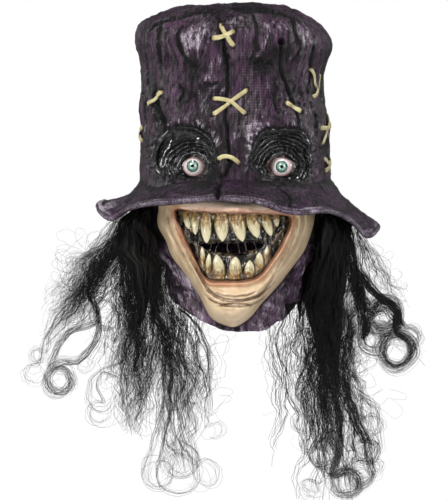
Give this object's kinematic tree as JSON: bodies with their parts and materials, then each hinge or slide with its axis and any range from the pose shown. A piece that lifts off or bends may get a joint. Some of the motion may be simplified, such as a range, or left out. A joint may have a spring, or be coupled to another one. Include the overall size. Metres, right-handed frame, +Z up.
{
  "type": "voodoo priest mask",
  "caption": "Over-the-head carnival mask: battered top hat with eye sockets and laces, drooping brim, fanged grin, neck wrap and two hanks of curly hair.",
  "frame": {"origin": "where the top of the wearer's head sits inside the hat, level with the middle of the crown", "axes": "+Z up, -Y the way the face looks, +X to the right of someone who looks at the face"},
  "size_m": [0.4513, 0.3306, 0.566],
  "materials": {
    "crown_latex": "painted latex, purple with a black wash and a grey dry brush, satin",
    "brim_latex": "painted latex, purple with a lavender edge, satin",
    "wrap_latex": "painted latex, purple, glossy wrinkles",
    "skin_latex": "painted latex, tan skin with brown creases and orange lips, satin",
    "gum_latex": "painted latex, wet black",
    "socket_latex": "painted latex, glossy black",
    "eyeball": "clear coated",
    "tooth": "ivory with amber stains, glossy",
    "lace": "dry rawhide",
    "hair": "curly black hair, slight sheen"
  },
  "bodies": {
    "root": {"eye_left": "eyeball", "eye_right": "eyeball", "eye_socket_left": "socket_latex", "eye_socket_right": "socket_latex", "face": "skin_latex", "hair_left": "hair", "hair_right": "hair", "hat_brim": "brim_latex", "hat_crown": "crown_latex", "lace_left": "lace", "lace_left_edge": "lace", "lace_middle": "lace", "lace_nose_bridge": "lace", "lace_right": "lace", "lace_side_edge": "lace", "lace_side_low": "lace", "lace_side_middle": "lace", "lace_side_top": "lace", "lace_top": "lace", "mouth_lining": "gum_latex", "neck_wrap": "wrap_latex", "tooth_lower_1": "tooth", "tooth_lower_2": "tooth", "tooth_lower_3": "tooth", "tooth_lower_4": "tooth", "tooth_lower_5": "tooth", "tooth_lower_6": "tooth", "tooth_lower_7": "tooth", "tooth_upper_1": "tooth", "tooth_upper_2": "tooth", "tooth_upper_3": "tooth", "tooth_upper_4": "tooth", "tooth_upper_5": "tooth", "tooth_upper_6": "tooth", "tooth_upper_7": "tooth", "tooth_upper_8": "tooth"}
  },
  "joints": []
}
